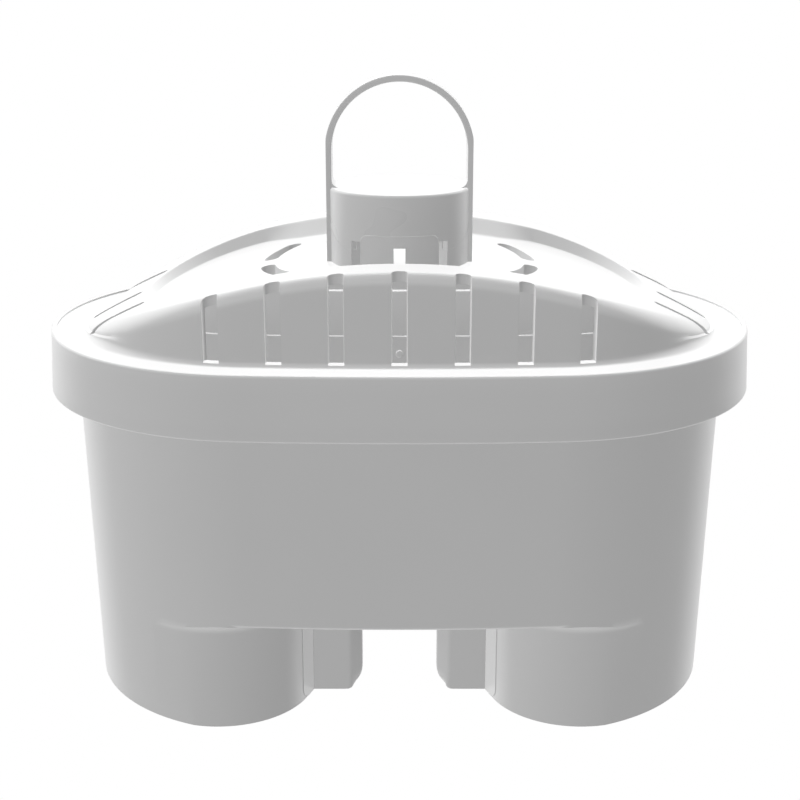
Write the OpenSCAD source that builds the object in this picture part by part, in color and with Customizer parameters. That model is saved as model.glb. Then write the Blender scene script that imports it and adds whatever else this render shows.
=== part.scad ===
// Water pitcher filter cartridge: oval cup with two outlet cups, slotted domed lid, cap with pull ring.
// Millimetres, +Z up. Origin: middle of the base, on the level the outlet cups stand on.
// The modules are drawn from the top edge of the rim (z = 0) and raised by the depth of the cups at the end.

/* [Rim and lid] */
// Width of the rim over its top edge
rim_w = 110; // [106:0.5:114]
// Height of the turned-down skirt
skirt_h = 9.6; // [8:0.2:14]
// Outward draft of the skirt at its lower edge
skirt_draft = 0.45; // [0:0.05:0.8]
// Wall thickness of the lid
lid_wall = 1.5; // [1.3:0.1:1.8]
// Height of the fine lip round the flange
lip_h = 0.3; // [0.2:0.05:0.6]
// Width of the fine lip
lip_w = 0.8; // [0.6:0.1:1.2]
// Flat flange between the lip edge and the dome
flange_w = 5.7; // [5:0.1:6.5]
// Height of the dome over the rim
dome_h = 13.3; // [12:0.1:15]
// Rounding of the dome ridge in the middle
ridge_r = 1.8; // [1.2:0.1:2.2]
// Depth of the basin in the dome
basin_depth = 3.8; // [3:0.1:4.5]
// Distance of the basin edge from the dome wall
basin_in = 7.3; // [6.5:0.1:8]

/* [Inlets] */
// Number of slots in the front, the same at the back
slot_count = 7; // [5:2:9]
// Distance between slots
slot_pitch = 8.95; // [7:0.05:10]
// Width of a slot
slot_w = 2.3; // [1.6:0.1:3]
// Number of slits at each end of the dome
slit_count = 3; // [1:2:3]
// Distance between slits
slit_pitch = 11.4; // [8:0.1:12]
// Width of a slit
slit_w = 1; // [0.6:0.1:1.6]
// Length of a slit
slit_len = 7.2; // [5:0.1:8]
// Middle radius of the arc slots round the cap
arc_r = 20.7; // [18:0.1:21]
// Width of the arc slots
arc_w = 2.3; // [1.5:0.1:3]

/* [Cup] */
// Depth of the cup below the rim, to the floor between the outlet cups
step_z = 40.5; // [34:0.5:46]
// Depth of the outlet cups below the rim
base_z = 58; // [54:0.5:64]
// Wall thickness of the cup
cup_wall = 1.6; // [1.2:0.1:2.2]
// Set-back of the cup wall from the rim under the skirt
cup_in = 3.8; // [3.5:0.1:4.5]
// Narrowing of the cup from the skirt to its base, on each side
cup_draft = 1.8; // [1:0.1:2.5]
// Half of the gap between the outlet cups
cup_gap = 14.1; // [12:0.1:15]
// Corner radius of the outlet cups on the inner side
cup_corner = 13.9; // [12:0.1:14.2]

/* [Lugs] */
// Thickness of a lug
lug_t = 4.4; // [3.6:0.1:5]
// Distance of the lug faces beyond the centres of the outlet cup corners
lug_past = 1.7; // [0.5:0.1:2.5]
// Half of the free gap between facing lugs
lug_gap = 6; // [5:0.1:9]
// Rounding of the lower free corner of a lug
lug_r = 2.2; // [1.5:0.1:3]

/* [Drains] */
// Number of drain slots in each outlet cup
drain_n = 5; // [3:1:7]
// Width of a drain slot
drain_w = 1.4; // [1:0.1:1.8]
// Solid edge left between a drain slot and the outline of the floor
drain_rim = 7; // [5:0.5:9]

/* [Cap] */
// Radius of the cap
cap_r = 11.1; // [10.5:0.1:11.5]
// Height of the cap top over the rim
cap_z = 21.25; // [19:0.25:24]
// Height of the ring top over the rim
ring_z = 38.3; // [36:0.5:42]
// Width of the ring band
band_w = 6; // [5:0.5:8]
// Thickness of the ring band
band_t = 1; // [0.8:0.1:1.4]

/* [Part] */
// Which node to draw

/* [Hidden] */

$fn = 96;
eps = 0.01;
// How far a cut runs past the face it opens
over = 1;
// Colours of the nodes
c_cup = "#eceded";
c_lid = "#f1f1f0";
c_cap = "#efefee";
c_ring = "#e6e6e4";
c_fleece = "#dfe0dc";
c_media = "#4a4640";

// Four-arc oval: end centres at +-end_c on X, centres of the long arcs at +-side_c on Y
end_c = 20.6;
side_c = 285.9;
span_c = sqrt(end_c * end_c + side_c * side_c);
rim_re = rim_w / 2 - end_c;
tilt = atan(end_c / side_c);
big_fn = 720;
wedge = 60;

// Lid
flange_z = -lip_h;
dome_re = rim_re - flange_w;
seam_z = flange_z - lid_wall;
// The dome meets the flange this far above its face
crease = 0.1;
vault_h = dome_h + lip_h - crease;
dome_a = dome_re + end_c;
vault_r = (dome_a * dome_a + vault_h * vault_h) / (2 * vault_h);
vault_cz = dome_h - vault_r;
floor_z = dome_h - basin_depth;
floor_flat = 17;
floor_vault_r = 119;
floor_top = floor_z + floor_flat * floor_flat / (2 * floor_vault_r);
basin_re = dome_re - basin_in;
basin_shift = 0.9;
slot_in = 2;
slot_base = 0.1;
slot_round = 0.5;
cut_out = 3;
cut_up = 6;
slit_x = 39.6;
slit_x_mid = 41.2;
arc_from = 7;
arc_to = 37;

// Cup
cup_re = rim_re - cup_in;
cup_slope = cup_draft / (base_z - skirt_h);
floor_t = 2;
outlet_t = 1.8;
base_re = cup_re - cup_draft;
corner_x = cup_gap + cup_corner;
// The corners lie this far inside the cup wall at the base
corner_inset = 0.1;
corner_y = sqrt(base_re * base_re - pow(corner_x - end_c, 2)) - cup_corner - corner_inset;
// Direction in which the outline of an outlet cup leaves its corner
flank = 15;
// A lug is rooted this deep in the wall of its outlet cup
lug_root = cup_wall / 2;
lug_y = corner_y + lug_past;
// Drain slots spread over the floor of an outlet cup
floor_w = end_c + base_re - cup_gap;
drain_pitch = floor_w / (drain_n + 2);
drain_mid = cup_gap + floor_w / 2;

// Cap and its socket
fit = 0.15;
cap_wall = 1.2;
cap_top_t = 1.5;
leg_out = 0.4;
socket_r = cap_r - cap_wall - fit;
socket_wall = 1.2;
socket_top = 18.6;
collar_in = 0.1;
leg_bite = 0.45;
hole_more = 0.3;
collar_z = 12.5;
collar_up = 4.2;
tab_half = 5.9;
tab_z = 15.1;
tab_round = 1;
win_w = 1.35;
win_z = 14;
win_x = 6.65;
mid_win_w = 1.8;
mid_win_z = 13.3;
seat = 0.05;

// Inner pieces
strain_in = 3.9;
strain_t = 1.2;
strain_top = 10;
strain_step_z = 3.4;
strain_step = 0.3;
fleece_t = 1.2;
media_gap = 0.3;
media_top = -14;

function vault(x) = vault_cz + sqrt(vault_r * vault_r - x * x);
function basin_floor(x) = min(floor_z, floor_top - x * x / (2 * floor_vault_r));

// Point of the oval of end radius re at parameter t (0 to 1, once round)
function oval_pt(re, t) =
    let (q = floor(t * 4) % 4,
         u = t * 4 - floor(t * 4),
         v = (q % 2 == 0) ? u : 1 - u,
         p = quarter_pt(re, v))
    [(q == 0 || q == 3) ? p[0] : -p[0], (q < 2) ? p[1] : -p[1]];
// A quarter of the oval, from the end on X (v = 0) to the side on Y (v = 1)
end_share = 0.62;
function quarter_pt(re, v) = v < end_share
    ? let (a = (90 - tilt) * v / end_share) [end_c + re * cos(a), re * sin(a)]
    : let (a = 90 - tilt * (1 - v) / (1 - end_share), r = re + span_c)
      [r * cos(a), r * sin(a) - side_c];

// Sector of the plan that belongs to one end arc
module end_sector(s) {
    polygon([[s * end_c, 0],
        [s * (end_c + wedge * sin(tilt)), -wedge * cos(tilt)], [s * 2 * wedge, -wedge],
        [s * 2 * wedge, wedge], [s * (end_c + wedge * sin(tilt)), wedge * cos(tilt)]]);
}

// Sector of the plan that belongs to one long arc, on the side against s
module side_sector(s) {
    polygon([[end_c, 0], [end_c + wedge * sin(tilt), -s * wedge * cos(tilt)],
        [-end_c - wedge * sin(tilt), -s * wedge * cos(tilt)], [-end_c, 0]]);
}

// Four-arc oval, flat
module oval(re) {
    for (s = [-1, 1])
        translate([s * end_c, 0]) circle(r = re);
    intersection() {
        translate([0, side_c]) circle(r = re + span_c, $fn = big_fn);
        translate([0, -side_c]) circle(r = re + span_c, $fn = big_fn);
        square([2 * (end_c + re * sin(tilt)), 4 * re], center = true);
    }
}

// Oval slab between two levels
module oval_slab(re, z0, z1) {
    translate([0, 0, z0]) linear_extrude(z1 - z0) oval(re);
}

// Drafted oval solid: end radius re0 at z0 and re1 at z1
module oval_taper(re0, re1, z0, z1) {
    h = z1 - z0;
    translate([0, 0, z0]) for (s = [-1, 1]) {
        intersection() {
            translate([s * end_c, 0, 0]) cylinder(h = h, r1 = re0, r2 = re1);
            translate([0, 0, -1]) linear_extrude(h + 2) end_sector(s);
        }
        intersection() {
            translate([0, s * side_c, 0])
                cylinder(h = h, r1 = re0 + span_c, r2 = re1 + span_c, $fn = big_fn);
            translate([0, 0, -1]) linear_extrude(h + 2) side_sector(s);
        }
    }
}

// One ring of points: offset of the oval, height as a function of place
ring_n = 104;
// Largest rounds, and the share of the height or depth that a round takes where there is little of it
foot_r = 0.8;
foot_share = 0.25;
ridge_more = 0.5;
ridge_share = 0.7;
edge_r = 1;
edge_share = 0.4;
// Lean of the basin wall, and depth of the skin's base in the flange
basin_lean = 0.25;
skin_base = 0.4;
function height_at(x) = vault(x) - flange_z;
function ridge_at(x) = min(ridge_r * (1 + ridge_more * pow(x / dome_a, 2)), ridge_share * height_at(x));
function foot_at(x) = min(foot_r, foot_share * height_at(x));
function depth_at(x) = vault(x) - basin_floor(x);
function edge_at(x) = min(edge_r, edge_share * depth_at(x));

// Outer skin of the dome with rounded foot, rounded ridge and basin, as rings from the base to the middle
// The foot starts this far under the flange face
sink = 0.05;
foot_steps = 2;
ridge_steps = 4;
edge_steps = 2;
floor_rings = [0.8, 0.6, 0.4];
function skin_rings() = concat(
    [[for (i = [0 : ring_n - 1])
        let (q = oval_pt(dome_re, i / ring_n), f = foot_at(q[0]), p = oval_pt(dome_re + f, i / ring_n))
        [p[0], p[1], seam_z + skin_base]]],
    [for (k = [0 : foot_steps]) [for (i = [0 : ring_n - 1])
        let (a = 90 * k / foot_steps, q = oval_pt(dome_re, i / ring_n), f = foot_at(q[0]),
             p = oval_pt(dome_re + f * (1 - sin(a)), i / ring_n))
        [p[0], p[1], flange_z - sink + (f + sink) * (1 - cos(a))]]],
    [for (k = [0 : ridge_steps]) [for (i = [0 : ring_n - 1])
        let (a = 90 * k / ridge_steps, q = oval_pt(dome_re, i / ring_n), r = ridge_at(q[0]),
             p = oval_pt(dome_re - r * (1 - cos(a)), i / ring_n))
        [p[0], p[1], vault(p[0]) - r * (1 - sin(a))]]],
    [for (k = [0 : edge_steps]) [for (i = [0 : ring_n - 1])
        let (a = 90 * k / edge_steps, q = basin_pt(0, i), r = edge_at(q[0]), p = basin_pt(r * (1 - sin(a)), i))
        [p[0], p[1], vault(p[0]) - r * (1 - cos(a))]]],
    [for (k = [0 : edge_steps]) [for (i = [0 : ring_n - 1])
        let (a = 90 * k / edge_steps, q = basin_pt(0, i), r = edge_at(q[0]),
             p = basin_pt(-basin_lean - r * (1 - cos(a)), i))
        [p[0], p[1], basin_floor(p[0]) + r * (1 - sin(a))]]],
    [for (s = floor_rings) [for (i = [0 : ring_n - 1])
        let (p = s * basin_pt(-basin_lean - edge_r, i)) [p[0], p[1], basin_floor(p[0])]]]);
function basin_pt(e, i) = let (p = oval_pt(basin_re + e, i / ring_n))
    [p[0], p[1] + basin_shift * sin(90 * min(1, abs(p[1]) / basin_re)) * sign(p[1])];

module dome_skin() {
    rings = skin_rings();
    n = len(rings);
    pts = [for (r = rings) each r];
    sides = [for (k = [0 : n - 2]) for (i = [0 : ring_n - 1]) let (j = (i + 1) % ring_n)
        each [[k * ring_n + i, (k + 1) * ring_n + i, (k + 1) * ring_n + j],
              [k * ring_n + i, (k + 1) * ring_n + j, k * ring_n + j]]];
    polyhedron(points = pts, faces = concat(sides,
        [[for (i = [0 : ring_n - 1]) i]],
        [[for (i = [0 : ring_n - 1]) n * ring_n - 1 - i]]), convexity = 6);
}

// Cylinder with its axis on Y, used as a vault
module vault_bar(r, cz) {
    translate([0, 0, cz]) rotate([90, 0, 0])
        cylinder(r = r, h = 4 * rim_re, center = true, $fn = big_fn);
}

// Hollow under the dome, leaving walls, roof and basin floor
module dome_hollow() {
    difference() {
        intersection() {
            oval_slab(dome_re - lid_wall, seam_z - 1, dome_h);
            vault_bar(vault_r - lid_wall, vault_cz);
        }
        difference() {
            oval_slab(basin_re + lid_wall, seam_z - 2 * over, dome_h + over);
            intersection() {
                vault_bar(floor_vault_r, floor_top - lid_wall - floor_vault_r);
                translate([0, 0, floor_z - lid_wall - rim_w]) cube(2 * rim_w, center = true);
            }
        }
    }
}

// Slots through the front and the back wall
module wall_slots() {
    for (i = [0 : slot_count - 1], s = [-1, 1]) {
        x = (i - (slot_count - 1) / 2) * slot_pitch;
        y = abs(x) < end_c + dome_re * sin(tilt)
            ? sqrt(pow(dome_re + span_c, 2) - x * x) - side_c
            : sqrt(dome_re * dome_re - pow(abs(x) - end_c, 2));
        translate([x, s * (y - slot_in), slot_base]) mirror([0, s < 0 ? 1 : 0, 0])
            linear_extrude(dome_h + cut_up) {
                translate([-slot_w / 2, slot_round]) square([slot_w, slot_in + cut_out]);
                for (e = [-1, 1])
                    translate([e * (slot_w / 2 - slot_round), slot_round]) circle(r = slot_round);
                translate([slot_round - slot_w / 2, 0]) square([slot_w - 2 * slot_round, 1]);
            }
    }
}

// Slits through the sloping ends
module end_slits() {
    for (s = [-1, 1], i = [0 : slit_count - 1]) {
        k = i - (slit_count - 1) / 2;
        x0 = k == 0 ? slit_x_mid : slit_x;
        translate([s > 0 ? x0 : -x0 - slit_len, k * slit_pitch - slit_w / 2, flange_z + 0.1])
            cube([slit_len, slit_w, dome_h]);
    }
}

// Arc slots in the basin floor
module arc_slots() {
    for (sx = [-1, 1], sy = [-1, 1])
        mirror([sx < 0 ? 1 : 0, 0, 0]) mirror([0, sy < 0 ? 1 : 0, 0])
            translate([0, 0, floor_z - 2 * lid_wall]) linear_extrude(4 * lid_wall) intersection() {
                difference() {
                    circle(r = arc_r + arc_w / 2);
                    circle(r = arc_r - arc_w / 2);
                }
                polygon([[0, 0], 2 * arc_r * [cos(arc_from), sin(arc_from)],
                    2 * arc_r * [cos(arc_to), sin(arc_to)]]);
            }
}

// Outline of the socket collar seen from the front: rises beside the legs, tab in the middle
module collar_face(grow) {
    square_top = collar_z + grow;
    translate([-cap_r - 1, floor_z - 1]) square([2 * cap_r + 2, square_top - floor_z + 1]);
    for (s = [-1, 1]) difference() {
        translate([s > 0 ? cap_r - collar_up : -cap_r, collar_z + grow - eps])
            square([collar_up, collar_up + eps]);
        translate([s * (cap_r - collar_up), collar_z + grow + collar_up]) circle(r = collar_up);
    }
    tw = tab_half + grow;
    translate([-tw, floor_z]) square([2 * tw, tab_z + grow - tab_round - floor_z]);
    translate([-tw + tab_round, floor_z]) square([2 * (tw - tab_round), tab_z + grow - floor_z]);
    for (s = [-1, 1])
        translate([s * (tw - tab_round), tab_z + grow - tab_round]) circle(r = tab_round);
}

// Straight cut through front and back of the socket and cap
module windows() {
    for (s = [-1, 0, 1]) {
        w = s == 0 ? mid_win_w : win_w;
        top = s == 0 ? mid_win_z : win_z;
        translate([s * win_x - w / 2, -cap_r - 1, floor_z + seat])
            cube([w, 2 * cap_r + 2, top - floor_z - seat]);
    }
}

// Room for the two legs of the ring
module leg_room(grow) {
    translate([-cap_r - 2 * over, -band_w / 2 - grow, floor_z])
        cube([2 * (cap_r + 2 * over), band_w + 2 * grow, cap_z]);
}

module socket() {
    difference() {
        union() {
            translate([0, 0, floor_z - eps]) cylinder(r = socket_r, h = socket_top - floor_z + eps);
            intersection() {
                translate([0, 0, floor_z - eps]) cylinder(r = cap_r - collar_in, h = cap_z - floor_z);
                rotate([90, 0, 0]) linear_extrude(4 * cap_r, center = true) collar_face(0);
            }
        }
        translate([0, 0, floor_z]) cylinder(r = socket_r - socket_wall, h = cap_z);
        difference() {
            leg_room(fit);
            translate([0, 0, floor_z - 1]) cylinder(r = socket_r - leg_bite, h = cap_z);
        }
        windows();
    }
}

// Skirt, flange and fine lip
module rim() {
    difference() {
        oval_taper(rim_re + skirt_draft, rim_re, -skirt_h, 0);
        oval_slab(rim_re - lip_w, flange_z, 1);
        oval_taper(rim_re + skirt_draft - lid_wall, rim_re - lid_wall, -skirt_h - 1, seam_z);
        oval_slab(dome_re - lid_wall + hole_more, -skirt_h, over);
    }
}

module lid() {
    color(c_lid) {
        rim();
        difference() {
            dome_skin();
            dome_hollow();
            wall_slots();
            end_slits();
            arc_slots();
        }
        socket();
    }
}

module pull_cap() {
    color(c_cap) {
        difference() {
            translate([0, 0, floor_z + 1]) cylinder(r = cap_r, h = cap_z - floor_z - 1);
            translate([0, 0, floor_z]) cylinder(r = cap_r - cap_wall, h = cap_z - cap_top_t - floor_z);
            difference() {
                rotate([90, 0, 0]) linear_extrude(4 * cap_r, center = true) collar_face(fit);
                translate([0, 0, cap_z - cap_top_t]) cylinder(r = cap_r + 1, h = cap_z);
            }
            windows();
        }
        intersection() {
            translate([0, 0, floor_z + seat]) cylinder(r = cap_r + leg_out, h = ring_z);
            rotate([90, 0, 0]) linear_extrude(band_w, center = true) ring_face();
        }
    }
}

// Ring band seen from the front: half circle on two straight legs
module ring_face() {
    ro = cap_r + leg_out;
    mid = ring_z - ro;
    difference() {
        union() {
            translate([0, mid]) circle(r = ro);
            translate([-ro, floor_z + seat]) square([2 * ro, mid - floor_z - seat]);
        }
        translate([0, mid]) circle(r = ro - band_t);
        translate([-ro + band_t, floor_z]) square([2 * (ro - band_t), mid - floor_z]);
    }
}

// Outlet cup, flat outline; s is the side. Outside the corners it runs past the cup wall, which trims it
module outlet_face(s, grow) {
    r = cup_corner + grow;
    y = corner_y + r;
    bx = corner_x + r * sin(flank);
    by = corner_y + r * cos(flank);
    mirror([s > 0 ? 1 : 0, 0]) {
        for (e = [-1, 1]) translate([-corner_x, e * corner_y]) circle(r = r);
        translate([-corner_x, -corner_y]) square([r, 2 * corner_y]);
        polygon([[-corner_x, -y], [-corner_x, y], [-bx, by], [-rim_w, by - (rim_w - bx) * tan(flank)],
            [-rim_w, (rim_w - bx) * tan(flank) - by], [-bx, -by]]);
    }
}

// Radius of the end arc of the cup wall at a level
function re_at(z) = cup_re + cup_slope * (z + skirt_h);

// Body of the cup with its two outlet cups: walls moved by grow, levels of base, step and top
module cup_form(grow, z_low, z_step, z_top) {
    difference() {
        oval_taper(re_at(z_low) + grow, re_at(z_top) + grow, z_low, z_top);
        translate([0, 0, z_low - over]) linear_extrude(z_step - z_low + over) difference() {
            square(2 * rim_w, center = true);
            outlet_face(-1, grow);
            outlet_face(1, grow);
        }
    }
}

module lug(sx, sy) {
    y0 = lug_y - lug_t;
    mirror([sx < 0 ? 1 : 0, 0, 0]) mirror([0, sy < 0 ? 1 : 0, 0]) intersection() {
        translate([0, 0, -base_z]) linear_extrude(base_z - step_z + over) {
            translate([lug_gap + lug_t / 2, y0 + lug_t / 2]) circle(d = lug_t);
            translate([lug_gap + lug_t / 2, y0]) square([cup_gap - lug_gap - lug_t / 2 + lug_root, lug_t]);
        }
        rotate([90, 0, 0]) linear_extrude(4 * rim_re, center = true) {
            translate([lug_gap, lug_r - base_z]) square([cup_gap, base_z]);
            translate([lug_gap + lug_r, -base_z]) square([cup_gap, base_z]);
            translate([lug_gap + lug_r, lug_r - base_z]) circle(r = lug_r);
        }
    }
}

// Half-depth of the floor of an outlet cup at a distance x from the middle plane
function floor_half(x) = x < corner_x
    ? corner_y + sqrt(pow(cup_corner - cup_wall, 2) - pow(corner_x - x, 2))
    : sqrt(pow(base_re - cup_wall, 2) - pow(x - end_c, 2));

// Drain slots, which keep the same distance from the outline of the floor
module drains() {
    for (s = [-1, 1], i = [0 : drain_n - 1]) {
        x = drain_mid + (i - (drain_n - 1) / 2) * drain_pitch;
        half = floor_half(x) - drain_rim;
        translate([s * x - drain_w / 2, -half, -base_z - over])
            cube([drain_w, 2 * half, outlet_t + 2 * over]);
    }
}

module housing_cup() {
    color(c_cup) difference() {
        union() {
            cup_form(0, -base_z, -step_z, seam_z);
            for (sx = [-1, 1], sy = [-1, 1]) lug(sx, sy);
        }
        cup_form(-cup_wall, -base_z + outlet_t, -step_z + floor_t, seam_z + 1);
        drains();
    }
}

module strainer_ring() {
    color(c_ring) intersection() {
        union() {
            difference() {
                oval_slab(dome_re - strain_in, seam_z - 1, strain_top);
                oval_slab(dome_re - strain_in - strain_t, seam_z - 2, strain_top + 1);
            }
            difference() {
                oval_slab(dome_re - strain_in + strain_step, seam_z - 1, strain_step_z);
                oval_slab(dome_re - strain_in - strain_t, seam_z - 2, strain_step_z + 1);
            }
        }
        vault_bar(vault_r - lid_wall - media_gap, vault_cz);
    }
}

module upper_fleece() {
    color(c_fleece) oval_slab(cup_re - cup_wall - media_gap, seam_z - 1 - fleece_t, seam_z - 1);
}

module filter_media() {
    color(c_media) cup_form(-cup_wall - media_gap, -base_z + outlet_t + fleece_t,
        -step_z + floor_t + media_gap, media_top);
}

// Sheet over the slotted floor of one outlet cup
module outlet_fleece(s) {
    g = -cup_wall - media_gap;
    z0 = -base_z + outlet_t;
    color(c_fleece) intersection() {
        oval_taper(re_at(z0) + g, re_at(z0 + fleece_t) + g, z0, z0 + fleece_t);
        translate([0, 0, z0 - over]) linear_extrude(fleece_t + 2 * over) outlet_face(s, g);
    }
}
module outlet_fleece_left() { outlet_fleece(-1); }
module outlet_fleece_right() { outlet_fleece(1); }

// Raises the assembly so that it stands on z = 0
module stand() { translate([0, 0, base_z]) children(); }

stand() housing_cup();
stand() lid();
stand() pull_cap();
stand() strainer_ring();
stand() upper_fleece();
stand() filter_media();
stand() outlet_fleece_left();
stand() outlet_fleece_right();
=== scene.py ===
import bpy
import numpy as np
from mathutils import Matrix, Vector


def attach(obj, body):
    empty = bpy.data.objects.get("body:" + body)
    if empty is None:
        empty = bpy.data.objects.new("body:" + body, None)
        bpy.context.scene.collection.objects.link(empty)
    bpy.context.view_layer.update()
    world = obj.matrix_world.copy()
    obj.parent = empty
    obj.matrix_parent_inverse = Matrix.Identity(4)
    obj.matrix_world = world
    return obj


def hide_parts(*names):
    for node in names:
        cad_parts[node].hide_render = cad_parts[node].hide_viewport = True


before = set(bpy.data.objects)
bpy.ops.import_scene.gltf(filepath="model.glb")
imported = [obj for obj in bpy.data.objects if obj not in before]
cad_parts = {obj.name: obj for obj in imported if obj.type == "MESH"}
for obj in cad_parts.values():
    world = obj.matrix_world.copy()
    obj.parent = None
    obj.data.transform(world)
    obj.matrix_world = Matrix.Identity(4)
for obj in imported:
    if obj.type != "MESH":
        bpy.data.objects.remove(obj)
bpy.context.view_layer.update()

# The real piece is one injection-moulded shell of white polypropylene: an oval
# cup that narrows downwards and ends in two outlet cups with a gap between them.
# Four short lugs face each other across that gap; the drains are slots in the base.

MM = 0.001
RIM_Z = 58.0          # the rim's top edge stands this far above the base
END_C = 20.6          # centres of the oval's end arcs, on X
SIDE_C = 285.9        # centres of its long arcs, on Y
SPAN_C = np.hypot(END_C, SIDE_C)
TILT = np.arctan(END_C / SIDE_C)
RIM_W = 110.0
RIM_RE = RIM_W / 2 - END_C
CUP_RE = RIM_RE - 3.8          # the cup hangs this far inside the rim
SKIRT_H = 9.6
CUP_DRAFT = 1.2                # the end radius loses this much from skirt to base
CUP_SLOPE = CUP_DRAFT / (RIM_Z - SKIRT_H)
CUP_WALL = 1.6
CUP_FLOOR_Z = -56.2            # top of the outlet cups' floors
STEP_Z, STEP_T = -40.5, 2.0    # underside of the body between the outlet cups, and its floor
STEP_EDGE_R = 0.5
CORNER_X, CORNER_Y, CORNER_R = 28.0, 13.83, 13.9
FLANK = 28.0                   # degrees that each corner runs past its outermost point
COVE = 2.0
SEAM_Z = -1.8                  # where cup and lid meet inside the skirt

# Directions round the oval: the end arcs by equal angles, the long arcs finer
QUARTER = np.concatenate([np.linspace(0, np.pi / 2 - TILT, 56, endpoint=False),
                          np.linspace(np.pi / 2 - TILT, np.pi / 2, 22, endpoint=False)])
AROUND = np.concatenate([QUARTER, np.pi - QUARTER[::-1], np.pi + QUARTER, 2 * np.pi - QUARTER[::-1],
                         [np.pi / 2, 3 * np.pi / 2]])
AROUND = np.unique(np.round(AROUND % (2 * np.pi), 9))


def oval(re, way):
    """Four-arc oval: the point whose normal has the angle way lies at the centre of its arc
    plus the arc's radius times (cos way, sin way). The end arcs have radius re about (+-END_C, 0),
    the long arcs re + SPAN_C about (0, -+SIDE_C), so every offset keeps the same centres."""
    c, s = np.cos(way), np.sin(way)
    end = np.abs(c) >= np.sin(TILT)
    r = re + np.where(end, 0.0, SPAN_C)
    x = np.where(end, END_C * np.sign(c), 0.0) + r * c
    y = np.where(end, 0.0, -SIDE_C * np.sign(s)) + r * s
    return x, y


def rows(re, z):
    """Rows of points round the oval, one for each end radius in re at the height in z:
    (oval(re, way), z), with re and z as columns against the directions AROUND."""
    re, z = np.broadcast_arrays(np.asarray(re, float), np.asarray(z, float))
    if re.ndim == 1:
        re, z = re[:, None] + 0 * AROUND, z[:, None] + 0 * AROUND
    x, y = oval(re, AROUND)
    return np.stack([x, y, z], axis=-1)


def link_mesh(name, points, faces):
    """A mesh object in the scene, from points in millimetres from the rim and lists of corners."""
    mesh = bpy.data.meshes.new(name)
    mesh.from_pydata(((points + [0, 0, RIM_Z]) * MM).tolist(), [], faces)
    mesh.validate()
    obj = bpy.data.objects.new(name, mesh)
    bpy.context.scene.collection.objects.link(obj)
    return obj


def quads_volume(points, quads):
    """Six times the signed volume between the origin and the quads: the sum of p0 . (p1 x p2)
    and p0 . (p2 x p3), negative where they face inwards."""
    q = points[quads]
    volume = np.einsum("ij,ij->i", q[:, 0], np.cross(q[:, 1], q[:, 2])).sum()
    return volume + np.einsum("ij,ij->i", q[:, 0], np.cross(q[:, 2], q[:, 3])).sum()


def solid(name, *shells):
    """A mesh object of closed shells. Each shell is a grid of points, rows by columns: the columns
    close into a ring, and the first and the last row are closed by one flat face each. A shell
    whose signed volume, the sum of p0 . (p1 x p2) / 6 over its triangles, is negative is turned."""
    points, faces, at = [], [], 0
    for g in shells:
        k, n = g.shape[:2]
        i, j = np.meshgrid(np.arange(k - 1), np.arange(n), indexing="ij")
        a, b = i * n + j, i * n + (j + 1) % n
        quads = np.stack([a, b, b + n, a + n], axis=-1).reshape(-1, 4)
        p = g.reshape(-1, 3)
        low, high = g[0].mean(0), g[-1].mean(0)
        volume = quads_volume(p, quads)
        volume += np.einsum("j,ij->i", low, np.cross(np.roll(g[0], -1, 0), g[0])).sum()
        volume += np.einsum("j,ij->i", high, np.cross(g[-1], np.roll(g[-1], -1, 0))).sum()
        first, last = np.arange(n)[::-1], (k - 1) * n + np.arange(n)
        if volume < 0:
            quads, first, last = quads[:, ::-1], first[::-1], last[::-1]
        faces += (quads + at).tolist() + [(first + at).tolist(), (last + at).tolist()]
        points.append(p)
        at += len(p)
    return link_mesh(name, np.concatenate(points), faces)


def combine(obj, other, way="DIFFERENCE"):
    """obj cut by, joined with or kept within other, worked out once; other is then deleted."""
    step = obj.modifiers.new("combine", "BOOLEAN")
    step.operation, step.solver, step.object = way, "EXACT", other
    deps = bpy.context.evaluated_depsgraph_get()
    mesh = bpy.data.meshes.new_from_object(obj.evaluated_get(deps))
    obj.modifiers.clear()
    obj.data = mesh
    mesh.name = obj.name
    bpy.data.objects.remove(other)
    return obj


def prism(outline, z0, z1):
    """The outline, a closed ring of (x, y), carried straight up from z0 to z1."""
    ring = np.concatenate([outline, np.zeros((len(outline), 1))], axis=1)
    return np.stack([ring + [0, 0, z0], ring + [0, 0, z1]])


def arc(cx, cy, r, a0, a1, n):
    """n points of a circle from angle a0 to a1 in degrees: centre + r (cos a, sin a)."""
    a = np.radians(np.linspace(a0, a1, n))
    return np.stack([cx + r * np.cos(a), cy + r * np.sin(a)], axis=1)


def cup_re(z):
    """End radius of the cup's wall at a height: it shrinks in proportion to the depth."""
    return CUP_RE + CUP_SLOPE * (z + SKIRT_H)


def gap_outline(grow):
    """The gap between the outlet cups seen from below. The inner side of the right cup is a straight
    wall with two corners of radius r = CORNER_R + grow about (CORNER_X, -+CORNER_Y), each followed to
    FLANK degrees past its outermost point, then 5 along its tangent and straight out; the left side
    is its mirror image."""
    r, past = CORNER_R + grow, np.radians(FLANK)
    x = CORNER_X + r * np.sin(past) + 5 * np.cos(past)
    y = CORNER_Y + r * np.cos(past) - 5 * np.sin(past)
    side = np.concatenate([[[x, -60], [x, -y]], arc(CORNER_X, -CORNER_Y, r, 270 + FLANK, 180, 28),
                           arc(CORNER_X, CORNER_Y, r, 180, 90 - FLANK, 28), [[x, y], [x, 60]]])
    return np.concatenate([side, side[::-1] * [-1, 1]])


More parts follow.
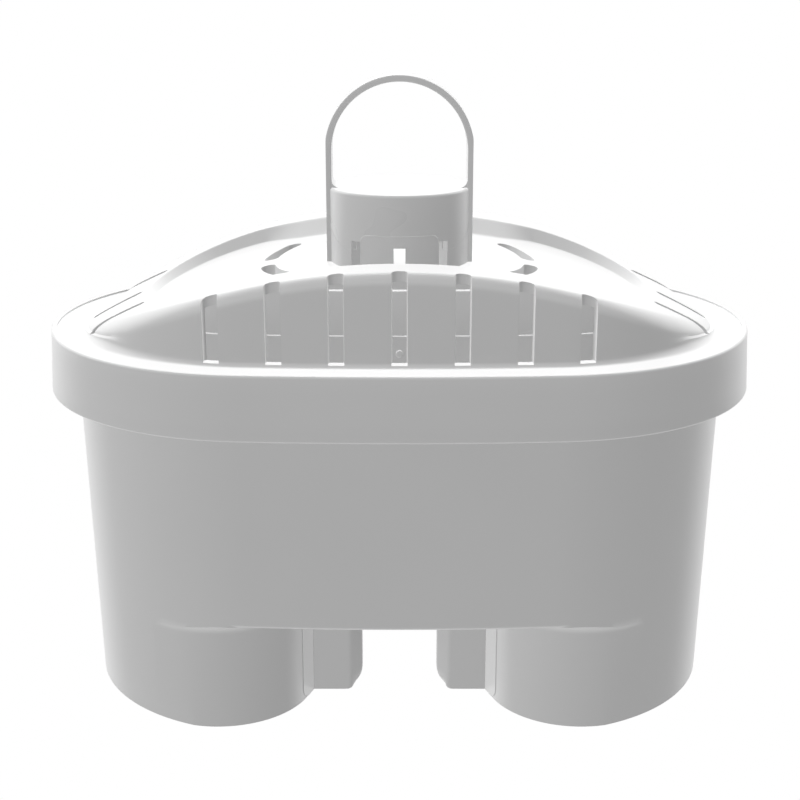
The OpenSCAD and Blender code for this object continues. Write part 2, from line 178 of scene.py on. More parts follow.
def gap_form(grow, low, step):
    """The gap as a solid with a cove under the step: at the depth d its outline is grown
    by COVE - sqrt(COVE ** 2 - (COVE - d) ** 2), which is COVE at the step and 0 from the depth COVE."""
    d = COVE * (1 - np.cos(np.radians(np.linspace(90, 0, 9))))
    more = COVE - np.sqrt(np.maximum(COVE ** 2 - (COVE - d) ** 2, 0))
    z = np.concatenate([[low - 2], step - d])
    flat = [gap_outline(grow + m) for m in np.concatenate([[0.0], more])]
    return np.stack([np.concatenate([f, np.full((len(f), 1), h)], axis=1) for f, h in zip(flat, z)])


def cup_form(name, grow, low, step, high):
    """The body with its outlet cups as one solid: the drafted oval less the gap below the step."""
    z = np.array([low, step - COVE - 0.1, step, step + 0.55, step + 1.1, high])
    return combine(solid(name, rows(cup_re(z) + grow, z)), solid("gap", gap_form(grow, low, step)))


def step_edge():
    """What a round of radius r takes off the outer edge of the step: a flat slab over the gap, less
    the oval drawn in by r (1 - sin a) at the height r (1 - cos a) above the step."""
    a = np.radians(np.linspace(0, 90, 8))
    h = np.concatenate([[-0.2], STEP_EDGE_R * (1 - np.cos(a)), [0.7]])
    back = np.concatenate([[STEP_EDGE_R], STEP_EDGE_R * (1 - np.sin(a)), [-0.1]])
    slab = solid("slab", prism(gap_outline(COVE), STEP_Z - 0.1, STEP_Z + STEP_EDGE_R))
    return combine(slab, solid("kept", rows(cup_re(STEP_Z + h) - back, STEP_Z + h)))


LUG_END, LUG_FRONT, LUG_T = 5.95, 15.53, 4.4
LUG_EDGE_R, LUG_TIP_R = 1.0, 0.7
LUG_CUT_X, LUG_CUT_Z = 2.6, 3.7
LUG_ROOT = 14.9                # inside the outlet cup's wall
PAD_X, PAD_Y, PAD_DX, PAD_DY = 13.75, 15.4, 1.45, 4.1
PAD_LONG, PAD_T, PAD_R = 4.35, 1.2, 2.0
DRAIN_X, DRAIN_PITCH, DRAIN_COUNT = 31.75, 5.04, 5
DRAIN_HALF, DRAIN_MARGIN = 0.7, 7.0


def lug(sx, sy):
    """A plate LUG_T thick on the inner wall of an outlet cup. Its free end is a wedge of 90 degrees
    with soft edges; its lower free corner is an ellipse: LUG_CUT_X (1 - cos a) in at
    LUG_CUT_Z (1 - sin a) up."""
    a = np.radians(np.linspace(90, 0, 11))
    up = np.concatenate([-RIM_Z + LUG_CUT_Z * (1 - np.sin(a)), [STEP_Z + 1]])
    back = np.concatenate([LUG_CUT_X * (1 - np.cos(a)), [0]])
    mid, edge_x = LUG_FRONT - LUG_T / 2, LUG_END + 2.32
    plan = np.concatenate([arc(edge_x, mid + 1.2, LUG_EDGE_R, 90, 135, 6),
                           arc(LUG_END + LUG_TIP_R, mid, LUG_TIP_R, 135, 225, 9),
                           arc(edge_x, mid - 1.2, LUG_EDGE_R, 225, 270, 6),
                           [[LUG_ROOT, mid - 2.2], [LUG_ROOT, mid + 2.2]]])
    x = np.maximum(plan[:, 0], LUG_END + back[:, None])
    return np.stack(np.broadcast_arrays(sx * x, sy * plan[:, 1], up[:, None]), axis=-1)


def pad(sx, sy):
    """A flat facet between lug and corner, from (PAD_X, PAD_Y) onwards by (PAD_DX, PAD_DY), a little
    proud of the wall. Its lower corner has radius PAD_R: it is shorter by PAD_R (1 - cos a) at
    PAD_R (1 - sin a) up."""
    a = np.radians(np.linspace(90, 0, 9))
    up = np.concatenate([-RIM_Z + PAD_R * (1 - np.sin(a)), [STEP_Z + 1]])[:, None]
    far = np.concatenate([1 - PAD_R * (1 - np.cos(a)) / PAD_LONG, [1]])[:, None]
    share = far * np.array([0, 1, 1, 0])
    x = PAD_X + PAD_DX * share + np.array([0, 0, PAD_T, PAD_T])
    return np.stack(np.broadcast_arrays(sx * x, sy * (PAD_Y + PAD_DY * share), up), axis=-1)


def drain(x):
    """One slot in the floor of an outlet cup. It ends DRAIN_MARGIN before the floor does, whose
    outline is the corner's circle inside CORNER_X and the oval's end arc outside it."""
    if x < CORNER_X:
        half = CORNER_Y + np.sqrt((CORNER_R - CUP_WALL) ** 2 - (CORNER_X - x) ** 2) - DRAIN_MARGIN
    else:
        half = np.sqrt((cup_re(-RIM_Z) - CUP_WALL) ** 2 - (x - END_C) ** 2) - DRAIN_MARGIN
    x0, x1 = x - DRAIN_HALF, x + DRAIN_HALF
    return prism(np.array([[x0, -half], [x1, -half], [x1, half], [x0, half]]), -60, -55)


cup = cup_form("cup_shell", 0, -RIM_Z, STEP_Z, SEAM_Z)
cup_hollow = cup_form("hollow", -CUP_WALL, CUP_FLOOR_Z, STEP_Z + STEP_T, SEAM_Z + 1)
drains = [drain(DRAIN_X + DRAIN_PITCH * (i - DRAIN_COUNT // 2)) for i in range(DRAIN_COUNT)]
four = [(sx, sy) for sx in (-1, 1) for sy in (-1, 1)]
cup = combine(cup, step_edge())
cup = combine(cup, cup_hollow)
cup = combine(cup, solid("drains", *drains, *[d * [-1, 1, 1] for d in drains]))
cup = combine(cup, solid("lugs", *[lug(*f) for f in four]), "UNION")
cup = combine(cup, solid("pads", *[pad(*f) for f in four]), "UNION")


def dress(obj, material, crease=32):
    """Shades the piece smooth, with edges sharper than crease degrees left as they are, and gives
    it its one material."""
    obj.data.shade_smooth()
    obj.data.set_sharp_from_angle(angle=np.radians(crease))
    obj.data.materials.clear()
    obj.data.materials.append(material)


def linear(hexa):
    """An sRGB hex colour as linear numbers: c / 12.92 below 0.04045, else ((c + 0.055) / 1.055) ** 2.4."""
    c = np.array([int(hexa[i:i + 2], 16) for i in (1, 3, 5)]) / 255
    c = np.where(c <= 0.04045, c / 12.92, ((c + 0.055) / 1.055) ** 2.4)
    return (*c.tolist(), 1.0)


def add(material, kind, links=(), **settings):
    """Adds a node to a material. Settings are socket or property names, and a link is
    (socket, node, output)."""
    node = material.node_tree.nodes.new(kind)
    for key, value in settings.items():
        name = key.replace("_", " ")
        if name in node.inputs:
            node.inputs[name].default_value = value
        else:
            setattr(node, key, value)
    for socket, source, output in links:
        material.node_tree.links.new(source.outputs[output], node.inputs[socket])
    return node


def bare_material(name):
    """A material with an empty node tree."""
    m = bpy.data.materials.new(name)
    m.use_nodes = True
    m.node_tree.nodes.clear()
    return m


def moulded_polypropylene(name, colour, darker, roughness, grain_mm, relief, edge_mm):
    """White polypropylene from a spark-eroded mould: a satin skin with a fine grain, faint
    cloudiness where the melt flowed, and edges broken by the mould's own small radius."""
    m = bare_material(name)
    place = add(m, "ShaderNodeTexCoord")
    cloud = add(m, "ShaderNodeTexNoise", [("Vector", place, "Object")],
                Scale=38.0, Detail=3.0, Roughness=0.5)
    tint = add(m, "ShaderNodeMix", [("Factor", cloud, "Fac")], data_type="RGBA")
    tint.inputs[6].default_value = linear(darker)
    tint.inputs[7].default_value = linear(colour)
    grain = add(m, "ShaderNodeTexNoise", [("Vector", place, "Object")], Scale=1000.0 / grain_mm, Detail=2.0)
    gloss = add(m, "ShaderNodeMapRange", [("Value", cloud, "Fac")])
    gloss.inputs["To Min"].default_value = roughness - 0.04
    gloss.inputs["To Max"].default_value = roughness + 0.04
    edge = add(m, "ShaderNodeBevel", samples=6)
    edge.inputs["Radius"].default_value = edge_mm * MM
    bump = add(m, "ShaderNodeBump", [("Height", grain, "Fac"), ("Normal", edge, "Normal")])
    bump.inputs["Strength"].default_value = relief
    bump.inputs["Distance"].default_value = 0.01 * MM
    skin = add(m, "ShaderNodeBsdfPrincipled", [("Base Color", tint, 2), ("Roughness", gloss, "Result"),
                                               ("Normal", bump, "Normal")], IOR=1.49)
    add(m, "ShaderNodeOutputMaterial", [("Surface", skin, "BSDF")])
    return m


cup_plastic = moulded_polypropylene("white_pp_satin_cup", "#e2e2e2", "#dedede", 0.30, 0.5, 0.25, 0.18)
dress(cup, cup_plastic)
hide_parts("housing_cup")
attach(cup, "root")

# A second polypropylene moulding closes the cup: a turned-down skirt, a flat flange inside a
# fine lip, and a dome vaulted along X that ends in a crisp crease on the flange. Its walls have
# slots, its sloping ends slits, and the basin in its roof arc slots that let the water in.

DOME_RE = 28.7
FLANGE_Z = -0.3
DOME_H = 13.3
DOME_A = DOME_RE + END_C
VAULT_RISE = DOME_H - FLANGE_Z - 0.1
VAULT_R = (DOME_A ** 2 + VAULT_RISE ** 2) / (2 * VAULT_RISE)
BASIN_RE = 19.9
BASIN_MORE = 1.7        # the basin is this much deeper in Y than its oval
BASIN_TOP, BASIN_BOW = 10.95, 210
SEAT_Z, SEAT_R, SEAT_BLEND = 9.6, 12, 4
LID_WALL = 1.5
LIP_IN = 0.8            # the fine lip stands this far inside the rim's edge
LIP_R, HEM_R = 0.35, 0.3
FOOT_R, RIDGE_R = 0.8, 1.8
SOFT_X, SOFT_W = 28, 21  # past SOFT_X the dome's ends soften, over the next SOFT_W
BASIN_WALL, BASIN_WALL_MORE = 1.9, 3.0  # width of the basin's wall, and what it gains in the middle
SKIRT_OUT = 0.45        # the skirt flares by this much on its way down


def vault(x):
    """Height of the dome's roof over x: a circle of radius VAULT_R along X with its top at DOME_H."""
    return DOME_H - VAULT_R + np.sqrt(VAULT_R ** 2 - np.minimum(np.abs(x), VAULT_R * 0.99) ** 2)


def basin_floor(x, y):
    """Height of the basin floor: BASIN_TOP - x squared / BASIN_BOW, but no more than SEAT_Z within
    SEAT_R of the middle, where the socket stands, with a blend over the next SEAT_BLEND."""
    bow = BASIN_TOP - x ** 2 / BASIN_BOW
    away = np.clip((np.hypot(x, y) - SEAT_R) / SEAT_BLEND, 0, 1)
    return np.minimum(SEAT_Z, bow) + np.maximum(bow - SEAT_Z, 0) * away


def lid_rows():
    """The lid's skin as rows round the oval, from the middle of the basin floor outwards over basin
    edge, roof, ridge, wall, foot, flange, lip and skirt, and back along the inner side. A round of
    radius r is the row offset r (1 - cos a) and r (1 - sin a) for a from 0 to 90 degrees."""
    a = np.radians(np.linspace(0, 90, 9))[:, None]
    x0 = oval(DOME_RE, AROUND)[0]
    tall = vault(x0) - FLANGE_Z
    soft = np.clip((np.abs(x0) - SOFT_X) / SOFT_W, 0, 1) ** 2
    foot = np.minimum(FOOT_R + 1.4 * soft, 0.4 * tall)
    foot_w = np.maximum(foot, FOOT_R + 1.6 * soft)
    ridge_w = RIDGE_R * (1 + 0.5 * (x0 / DOME_A) ** 2)
    ridge = np.minimum(ridge_w, 0.5 * tall)
    lean = 0.6 * soft

    def at(re, z, y_more=0.0):
        """Rows at the end radius re and the height z, a number or a function of x; y_more is what
        the oval gains in Y at the middle of its sides, fading by a sine to its ends."""
        re = re + 0 * AROUND
        x, y = oval(re, AROUND)
        y = y + y_more * np.sin(np.pi / 2 * np.clip(np.abs(y) / BASIN_RE, 0, 1)) * np.sign(y)
        return np.stack(np.broadcast_arrays(x, y, z(x) if callable(z) else z), axis=-1)

    width = BASIN_WALL + BASIN_WALL_MORE * np.clip((23 - np.abs(oval(BASIN_RE, AROUND)[0])) / 6, 0, 1)
    seam = []
    for s in (0.35, 0.5, 0.65, 0.8, 0.92):
        g = at(BASIN_RE - width - 0.4, 0.0, y_more=BASIN_MORE) * [s, s, 1]
        g[:, 2] = basin_floor(g[:, 0], g[:, 1])
        seam.append(g)
    t = np.linspace(0, 1, 15)
    steep = np.clip(np.minimum(t, 1 - t) / 0.12, 0, 1)
    rise = np.concatenate([[0], np.cumsum(steep[1:] + steep[:-1])])
    slope = at(BASIN_RE - width * (1 - t[:, None]), 0.0, y_more=BASIN_MORE)
    x, bottom = slope[..., 0], basin_floor(slope[..., 0], slope[..., 1])
    slope[..., 2] = bottom + (vault(x) - bottom) * (rise / rise[-1])[:, None]
    t = np.linspace(0, 1, 6)[1:-1, None]
    r_in = DOME_RE - ridge_w
    mid = at(BASIN_RE + (r_in - BASIN_RE) * t, vault, y_more=BASIN_MORE * (1 - t))
    ridge_rows = at(DOME_RE - ridge_w * (1 - np.cos(a[::-1])), 0.0)
    ridge_rows[..., 2] = vault(ridge_rows[..., 0]) - ridge * (1 - np.sin(a[::-1]))
    w = np.linspace(0, 1, 6)[1:-1, None]
    wall = at(DOME_RE + lean * w, 0.0)
    wall[..., 2] = (vault(x0) - ridge) * (1 - w) + (FLANGE_Z + foot) * w
    foot_rows = at(DOME_RE + lean + foot_w * (1 - np.sin(a[::-1])), 0.0)
    foot_rows[..., 2] = FLANGE_Z + foot * (1 - np.cos(a[::-1]))
    lip = [(RIM_RE - LIP_IN - 1.0, FLANGE_Z), (RIM_RE - LIP_IN, FLANGE_Z), (RIM_RE - LIP_IN, -0.08),
           (RIM_RE - LIP_IN + 0.08, 0.0), (RIM_RE - LIP_R, 0.0)]
    b = np.radians(np.linspace(0, 90, 6))[1:]
    hem_re, fall = RIM_RE + SKIRT_OUT, SKIRT_H - LIP_R - HEM_R
    lip += [(RIM_RE - LIP_R * (1 - np.sin(q)), -LIP_R * (1 - np.cos(q))) for q in b]
    lip += [(RIM_RE + SKIRT_OUT * h, -LIP_R - h * fall) for h in (0.25, 0.5, 0.75, 1.0)]
    lip += [(hem_re - HEM_R * (1 - np.cos(q)), -SKIRT_H + HEM_R * (1 - np.sin(q))) for q in b]
    lip += [(hem_re - LID_WALL, -SKIRT_H), (RIM_RE - LID_WALL, SEAM_Z), (DOME_RE - LID_WALL, SEAM_Z)]
    rim = rows([p[0] for p in lip], [p[1] for p in lip])
    sump_re = BASIN_RE + LID_WALL
    roof = at(DOME_RE - LID_WALL, lambda x: np.maximum(vault(x) - LID_WALL, SEAM_Z + 0.02))
    under = at(sump_re, lambda x: np.maximum(vault(x) - LID_WALL, SEAM_Z + 0.03), y_more=BASIN_MORE)
    sump = at(sump_re, lambda x: np.maximum(basin_floor(x, 0) - LID_WALL, SEAM_Z + 0.04) - 0.02,
              y_more=BASIN_MORE)
    below = [at(sump_re, 0.0, y_more=BASIN_MORE) * [s, s, 1] for s in (0.8, 0.6, 0.35)]
    for g in below:
        g[:, 2] = basin_floor(g[:, 0], 0) - LID_WALL
    parts = [np.stack(seam), slope, mid, ridge_rows, wall, foot_rows, rim,
             roof[None], under[None], sump[None], np.stack(below)]
    return np.concatenate(parts)


def slot_outline(x, way):
    """A slot in the wall at x: it reaches 2 mm inwards from the wall, with inner corners of 1."""
    y = oval_y(DOME_RE, x)
    ring = np.concatenate([arc(-0.15, -1.0, 1.0, 180, 270, 9), arc(0.15, -1.0, 1.0, 270, 360, 9),
                           [[1.15, 3.0], [-1.15, 3.0]]])
    return (ring + [0, y]) * [1, way] + [x, 0]


def oval_y(re, x):
    """Half-depth of the oval at x, from whichever of its two kinds of arc reaches there."""
    x = np.abs(x)
    if x < END_C + re * np.sin(TILT):
        return np.sqrt((re + SPAN_C) ** 2 - x * x) - SIDE_C
    return np.sqrt(re * re - (x - END_C) ** 2)


SLOT_COUNT, SLOT_PITCH = 7, 8.95
slots = [prism(slot_outline((i - SLOT_COUNT // 2) * SLOT_PITCH, s), 0.1, 19)
         for i in range(SLOT_COUNT) for s in (-1, 1)]
SLIT_MIDDLE, SLIT_OUTER = (41.0, 49.2), (38.7, 47.3)
SLIT_Y, SLIT_R = 11.7, 0.9


def slit(s, k):
    """A slit through a sloping end, straight down, 8 to 9 long, with round ends of radius SLIT_R:
    side s, the middle one for k = 0 and the outer ones for k = -1 and 1."""
    x0, x1 = SLIT_MIDDLE if k == 0 else SLIT_OUTER
    ring = np.concatenate([arc(x0 + SLIT_R, 0, SLIT_R, 90, 270, 9),
                           arc(x1 - SLIT_R, 0, SLIT_R, -90, 90, 9)])
    return prism(ring * [s, 1] + [0, k * SLIT_Y], -0.2, 12)


slits = [slit(s, k) for s in (-1, 1) for k in (-1, 0, 1)]


def arc_slot(sx, sy):
    """An arc slot in the basin floor, 2.3 wide about a radius of 20.8 with round ends, from 5.5 to
    36.5 degrees."""
    a0, a1, r, w = 8.7, 33.3, 20.8, 1.15
    low, high = np.radians([a0, a1])
    ring = np.concatenate([arc(0, 0, r + w, a0, a1, 20),
                           arc(r * np.cos(high), r * np.sin(high), w, a1, a1 + 180, 9)[1:-1],
                           arc(0, 0, r - w, a1, a0, 20),
                           arc(r * np.cos(low), r * np.sin(low), w, a0 + 180, a0 + 360, 9)[1:-1]])
    return prism(ring * [sx, sy], 6, 12)


arcs = [arc_slot(sx, sy) for sx in (-1, 1) for sy in (-1, 1)]
lid = solid("lid_shell", lid_rows())
lid = combine(lid, solid("inlets", *slots, *slits, *arcs))
lid_plastic = moulded_polypropylene("white_pp_satin_lid", "#e3e3e3", "#dfdfdf", 0.29, 0.45, 0.22, 0.08)
dress(lid, lid_plastic)
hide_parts("lid")
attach(lid, "root")

# The lid carries a round socket in the middle of its basin. The pull cap snaps over it, and its
# collar shows below the cap, flush with it, with a tab in front and horns beside the ring's legs.

CAP_R = 11.1
FLOOR_Z = 9.5
FOOT_Z = FLOOR_Z - 0.3         # socket and neck reach this deep into the basin floor
SOCKET_BORE, SOCKET_TOP = 8.55, 17.2
NECK_R, NECK_TOP = 9.75, 18.6
LEG_IN, LEG_HALF = 9.3, 3.15
PAST_CAP = 14                  # a cut that starts or ends outside the cap does so here


def turned(profile, n=144):
    """A profile of (radius, z) turned round Z: (r cos a, r sin a, z) for n equal angles. The profile
    runs from one closing face to the other."""
    a = np.linspace(0, 2 * np.pi, n, endpoint=False)
    p = np.asarray(profile, float)
    return np.stack([p[:, :1] * np.cos(a), p[:, :1] * np.sin(a), p[:, 1:] + 0 * a], axis=-1)


def hollow_turned(outer, inner, n=144):
    """A tube as one shell: the outer profile upwards, then the inner one downwards, and the ring
    closed again at its start."""
    g = turned(list(outer) + list(inner), n)
    return np.concatenate([g, g[:1]])


def ring_solid(name, grid):
    """A ring-like piece whose rows close as its columns do: the first and last rows are the same, so
    the two closing faces of solid() are left out and the doubles are merged."""
    k, n = grid.shape[0] - 1, grid.shape[1]
    i, j = np.meshgrid(np.arange(k), np.arange(n), indexing="ij")
    a, b = i * n + j, i * n + (j + 1) % n
    c, d = ((i + 1) % k) * n + (j + 1) % n, ((i + 1) % k) * n + j
    quads = np.stack([a, b, c, d], axis=-1).reshape(-1, 4)
    p = grid[:-1].reshape(-1, 3)
    if quads_volume(p, quads) < 0:
        quads = quads[:, ::-1]
    return link_mesh(name, p, quads.tolist())


def face_prism(outline, y0, y1):
    """The outline, a closed ring of (x, z) seen from the front, carried along Y from y0 to y1."""
    o = np.asarray(outline, float)
    ring = np.stack([o[:, 0], 0 * o[:, 0], o[:, 1]], axis=1)
    return np.stack([ring + [0, y0, 0], ring + [0, y1, 0]])


def collar_edge(grow):
    """The upper edge of the collar seen from the front, from left to right: up beside the left leg
    by a quarter round of 4.2, level at 12.5, up to the tab at 15.1 with corners of 1, and mirrored."""
    z, up, tab, top = 12.5 + grow, 4.2, 5.9 + grow, 15.1 + grow
    left = np.concatenate([[[-CAP_R - 1.5, z + up]], arc(-(CAP_R - up), z + up, up, 180, 270, 16),
                           [[-tab, z]], arc(-tab + 1, top - 1, 1, 180, 90, 8)])
    return np.concatenate([left, left[::-1] * [-1, 1]])


socket = ring_solid("socket", hollow_turned(
    [(CAP_R - 0.02, FOOT_Z), (CAP_R - 0.02, SOCKET_TOP)],
    [(SOCKET_BORE, SOCKET_TOP), (SOCKET_BORE, FOOT_Z)]))
above = np.concatenate([collar_edge(0), [[CAP_R + 1.5, 22], [-CAP_R - 1.5, 22]]])
socket = combine(socket, solid("above", face_prism(above, -PAST_CAP, PAST_CAP)))
neck = ring_solid("neck", hollow_turned(
    [(NECK_R, FOOT_Z), (NECK_R, NECK_TOP - 0.3), (NECK_R - 0.3, NECK_TOP)],
    [(SOCKET_BORE, NECK_TOP), (SOCKET_BORE, FOOT_Z)]))
socket = combine(socket, neck, "UNION")
leg_room = np.array([(LEG_IN, FLOOR_Z), (PAST_CAP, FLOOR_Z), (PAST_CAP, 22), (LEG_IN, 22)])
legs = [face_prism(leg_room * [s, 1], -LEG_HALF, LEG_HALF) for s in (1, -1)]
socket = combine(socket, solid("leg_room", *legs))


def windows():
    """Cuts through socket and cap, in front and behind: in the middle straight along Y, 1.8 wide and
    up to 13.3, at each side radial at 37 degrees from it, 1.7 wide and up to 14."""
    half, top = 0.9, 13.3
    cuts = [face_prism([(-half, FLOOR_Z), (half, FLOOR_Z), (half, top), (-half, top)], -PAST_CAP, PAST_CAP)]
    half, top = 0.85, 14.0
    for turn in np.radians([37, 143, 217, 323]):
        out = np.array([np.sin(turn), -np.cos(turn)])
        side = half * np.array([np.cos(turn), np.sin(turn)])
        ring = [8 * out - side, PAST_CAP * out - side, PAST_CAP * out + side, 8 * out + side]
        cuts.append(prism(np.array(ring), FLOOR_Z, top))
    return solid("windows", *cuts)


socket = combine(socket, windows())
dress(socket, lid_plastic)
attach(socket, "root")

# One moulding: a round cap that snaps over the socket, and a flat band standing on two legs that
# forms the finger ring, with a small fillet where each leg leaves the top of the cap.

CAP_TOP, CAP_LOW = 21.25, 10.5
CAP_BORE, CAP_ROOF, CAP_EDGE_R = 9.9, 1.5, 0.4
cap_rim = [(CAP_R - CAP_EDGE_R * (1 - np.cos(t)), CAP_TOP - CAP_EDGE_R * (1 - np.sin(t)))
           for t in np.radians(np.linspace(90, 0, 6))]
cap = solid("cap_shell", turned([(4.0, CAP_TOP), *cap_rim, (CAP_R, CAP_LOW), (CAP_BORE, CAP_LOW),
                                 (CAP_BORE, CAP_TOP - CAP_ROOF), (4.0, CAP_TOP - CAP_ROOF)]))
below = np.concatenate([collar_edge(0.02), [[CAP_R + 1.5, 8], [-CAP_R - 1.5, 8]]])
cap = combine(cap, solid("below", face_prism(below, -PAST_CAP, PAST_CAP)))
cap = combine(cap, windows())

RING_R, RING_TOP = 11.5, 38.3
RING_FACE_R = 27
BAND_W, BAND_T, BAND_EDGE_R = 6.0, 1.0, 0.14


def band():
    """The finger ring: a rounded rectangle of BAND_W by BAND_T carried up one leg, round a half
    circle of mid radius RING_R - BAND_T / 2 and down the other leg. Its outer faces are curved:
    |x| stays within RING_R - RING_FACE_R + sqrt(RING_FACE_R ** 2 - y ** 2)."""
    r, top = RING_R - BAND_T / 2, RING_TOP - RING_R
    leg = np.linspace(FLOOR_Z + 0.05, top, 12, endpoint=False)
    a = np.radians(np.linspace(180, 0, 73))
    px = np.concatenate([-r + 0 * leg, r * np.cos(a), r + 0 * leg])
    pz = np.concatenate([leg, top + r * np.sin(a), leg[::-1]])
    nx = np.concatenate([-1 + 0 * leg, np.cos(a), 1 + 0 * leg])
    nz = np.concatenate([0 * leg, np.sin(a), 0 * leg])
    c = BAND_EDGE_R
    u, v = BAND_W / 2 - c, BAND_T / 2 - c
    ring = np.concatenate([arc(u, v, c, 0, 90, 5), arc(-u, v, c, 90, 180, 5), arc(-u, -v, c, 180, 270, 5),
                           arc(u, -v, c, 270, 360, 5)])
    y, n = ring[:, 0], ring[:, 1]
    x = px[:, None] + nx[:, None] * n
    z = pz[:, None] + nz[:, None] * n
    limit = RING_R - RING_FACE_R + np.sqrt(RING_FACE_R ** 2 - y ** 2)
    return np.stack([np.clip(x, -limit, limit), y + 0 * x, z], axis=-1)


def gusset(s):
    """The fillet of 1.2 between a leg's inner face and the top of the cap, 5.6 wide."""
    foot = np.concatenate([[[10.7, 21.0], [10.7, 22.45]], arc(9.3, 22.45, 1.2, 0, -90, 9), [[9.3, 21.0]]])
    return face_prism(foot * [s, 1], -2.8, 2.8)


cap = combine(cap, solid("band", band()), "UNION")
cap = combine(cap, solid("gussets", gusset(-1), gusset(1)), "UNION")
cap_plastic = moulded_polypropylene("white_pp_satin_cap", "#e4e4e4", "#e0e0e0", 0.28, 0.4, 0.2, 0.05)
dress(cap, cap_plastic)
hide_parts("pull_cap")
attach(cap, "root")

# The strainer is an upright polypropylene band inside the dome that keeps the upper fleece down.
# Its flat top shows through the slots, with a fine ledge lower down and the nub of its gate in front.

STRAIN_RE = 24.8


def strainer_rows():
    """The strainer's section round the oval: outer face with a ledge of 0.3 at 3.4, flat top at 10
    or 1.8 under the roof, inner face 1.2 further in, as rows that come back to the first."""
    top = np.minimum(10.0, vault(oval(STRAIN_RE, AROUND)[0]) - 1.8)
    ledge = np.minimum(3.4, top - 0.5)
    foot = -2.8 + 0 * top
    section = [(0.3, foot), (0.3, ledge), (0.0, ledge + 0.12), (0.0, top - 0.2), (-0.06, top - 0.06),
               (-0.2, top), (-1.0, top), (-1.14, top - 0.06), (-1.2, top - 0.2), (-1.2, foot)]
    grid = np.stack([np.stack([*oval(STRAIN_RE + r, AROUND), z], axis=-1) for r, z in section])
    return np.concatenate([grid, grid[:1]])


strainer = ring_solid("strainer", strainer_rows())
nub_a = np.linspace(0, 2 * np.pi, 24, endpoint=False)
nub_r, nub_y = np.array([(0.55, -25.3), (0.55, -26.0), (0.45, -26.15), (0.2, -26.2)]).T[:, :, None]
nub_z = 0.9
nub = np.stack([nub_r * np.cos(nub_a), nub_y + 0 * nub_a, nub_z + nub_r * np.sin(nub_a)], axis=-1)
strainer = combine(strainer, solid("nub", nub), "UNION")
strainer_plastic = moulded_polypropylene("natural_pp_strainer", "#e1e1e1", "#dddddd", 0.32, 0.4, 0.2, 0.08)
dress(strainer, strainer_plastic)
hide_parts("strainer_ring")
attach(strainer, "root")

# Needle-felt fleeces of white polyester lie over the filling and over the drains. They stay as the
# CAD has them: flat sheets whose matted fibres show as fine crossed streaks.


def needle_felt(name):
    """Needled polyester, rough and dry: fibres of about 0.1 mm, drawn as streaks of 0.4 mm in two
    directions."""
    m = bare_material(name)
    place = add(m, "ShaderNodeTexCoord")
    lay = [add(m, "ShaderNodeMapping", [("Vector", place, "Object")]) for _ in range(2)]
    for one, turn in zip(lay, (0.5, 2.1)):
        one.inputs["Rotation"].default_value = (0, 0, turn)
        one.inputs["Scale"].default_value = (1, 6, 1)
    fibre = [add(m, "ShaderNodeTexNoise", [("Vector", one, "Vector")], Scale=420.0, Detail=3.0)
             for one in lay]
    both = add(m, "ShaderNodeMath", [(0, fibre[0], "Fac"), (1, fibre[1], "Fac")], operation="MAXIMUM")
    tint = add(m, "ShaderNodeMix", [("Factor", both, "Value")], data_type="RGBA")
    tint.inputs[6].default_value = linear("#c9cac6")
    tint.inputs[7].default_value = linear("#e9eae6")
    bump = add(m, "ShaderNodeBump", [("Height", both, "Value")], Strength=0.6)
    bump.inputs["Distance"].default_value = 0.1 * MM
    skin = add(m, "ShaderNodeBsdfPrincipled", [("Base Color", tint, 2), ("Normal", bump, "Normal")],
               Roughness=0.95)
    add(m, "ShaderNodeOutputMaterial", [("Surface", skin, "BSDF")])
    return m


felt = needle_felt("needled_polyester")
for name in ("upper_fleece", "outlet_fleece_left", "outlet_fleece_right"):
    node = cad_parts[name]
    node.data.materials.clear()
    node.data.materials.append(felt)

# The filling is a bed of activated carbon and ion-exchange beads of about 0.7 mm, loose in the cup.


def carbon_and_beads(name):
    """Granules of about 0.7 mm: Voronoi cells at that pitch, some black carbon, some amber resin."""
    m = bare_material(name)
    place = add(m, "ShaderNodeTexCoord")
    cell = add(m, "ShaderNodeTexVoronoi", [("Vector", place, "Object")], Scale=1000 / 0.7)
    pick = add(m, "ShaderNodeSeparateColor", [("Color", cell, "Color")])
    which = add(m, "ShaderNodeMath", [(0, pick, "Red")], operation="GREATER_THAN")
    which.inputs[1].default_value = 0.55
    tint = add(m, "ShaderNodeMix", [("Factor", which, "Value")], data_type="RGBA")
    tint.inputs[6].default_value = linear("#2a2723")
    tint.inputs[7].default_value = linear("#8f6a3a")
    bump = add(m, "ShaderNodeBump", [("Height", cell, "Distance")], Strength=0.8, invert=True)
    bump.inputs["Distance"].default_value = 0.3 * MM
    skin = add(m, "ShaderNodeBsdfPrincipled", [("Base Color", tint, 2), ("Normal", bump, "Normal")],
               Roughness=0.6)
    add(m, "ShaderNodeOutputMaterial", [("Surface", skin, "BSDF")])
    return m


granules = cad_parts["filter_media"]
granules.data.materials.clear()
granules.data.materials.append(carbon_and_beads("carbon_and_resin_beads"))

# Studio: a white light table with a white wall all round, seen by the camera and in the gloss, soft
# shadowless lamps from the left, the right, above, behind and below, and the camera.

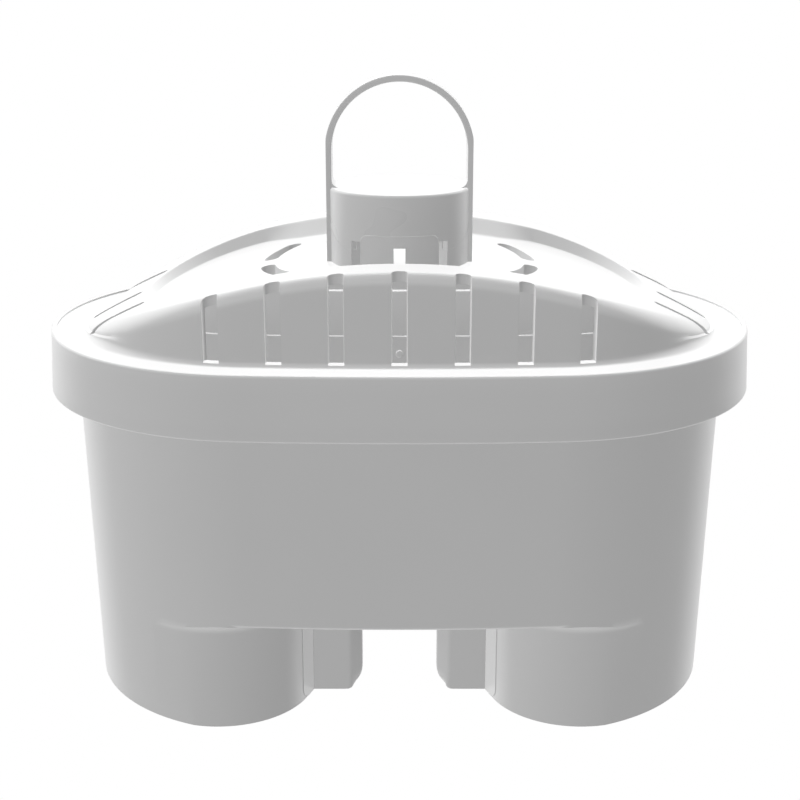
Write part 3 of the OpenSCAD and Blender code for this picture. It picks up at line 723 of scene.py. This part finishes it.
SIDE = 20.0
corner = np.array([(-SIDE, -SIDE), (SIDE, -SIDE), (SIDE, SIDE), (-SIDE, SIDE)])
table = bpy.data.meshes.new("light_table")
table.from_pydata([(*c, 0) for c in corner.tolist()] + [(*c, SIDE) for c in corner.tolist()], [],
                  [(0, 1, 2, 3), (0, 4, 5, 1), (1, 5, 6, 2), (2, 6, 7, 3), (3, 7, 4, 0)])
floor = bpy.data.objects.new("light_table", table)
bpy.context.scene.collection.objects.link(floor)
glow = bare_material("white_light_table")
lit = add(glow, "ShaderNodeEmission", Strength=1.0)
lit.inputs["Color"].default_value = (1, 1, 1, 1)
add(glow, "ShaderNodeOutputMaterial", [("Surface", lit, "Emission")])
table.materials.append(glow)
floor.visible_diffuse = False


def lamp(name, source, strength, spread):
    """A distant lamp without shadows. source is the direction it shines from, spread its angle in
    degrees: at 180 it is half of the sky and lights a face by (1 + n . source) / 2."""
    data = bpy.data.lights.new(name, "SUN")
    data.energy, data.angle, data.use_shadow = strength, np.radians(spread), False
    obj = bpy.data.objects.new(name, data)
    obj.rotation_euler = Vector(source).to_track_quat("Z", "Y").to_euler()
    obj.visible_glossy = False
    bpy.context.scene.collection.objects.link(obj)
    return obj


lamp("left_half", (-1, 0, 0), 1.71, 180)
lamp("right_half", (1, 0, 0), 0.90, 180)
lamp("overhead", (0, 0, 1), 1.0, 10)
lamp("table_light", (0, 0, -1), 0.9, 10)
for side in (-1, 1):
    lamp("behind", (side * 0.573, 0.683, 0.453), 2.5, 10)

# Each face is lit by the lamps alone, without light thrown on it by the others
for piece in (cup, lid, socket, cap, strainer, *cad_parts.values()):
    piece.visible_diffuse = False

world = bpy.data.worlds.new("studio")
bpy.context.scene.world = world
world.use_nodes = True
world.node_tree.nodes["Background"].inputs["Color"].default_value = (1, 1, 1, 1)
world.node_tree.nodes["Background"].inputs["Strength"].default_value = 0.05
bpy.context.scene.view_settings.view_transform = "Standard"

camera = bpy.data.cameras.new("camera")
camera.sensor_width = 36
camera.lens = 66.36
camera.shift_x = 0.0006
eye = bpy.data.objects.new("camera", camera)
eye.location = (0, -0.2303, 0.1140)
eye.rotation_euler = (np.radians(73.12), 0, 0)
bpy.context.scene.collection.objects.link(eye)
bpy.context.scene.camera = eye
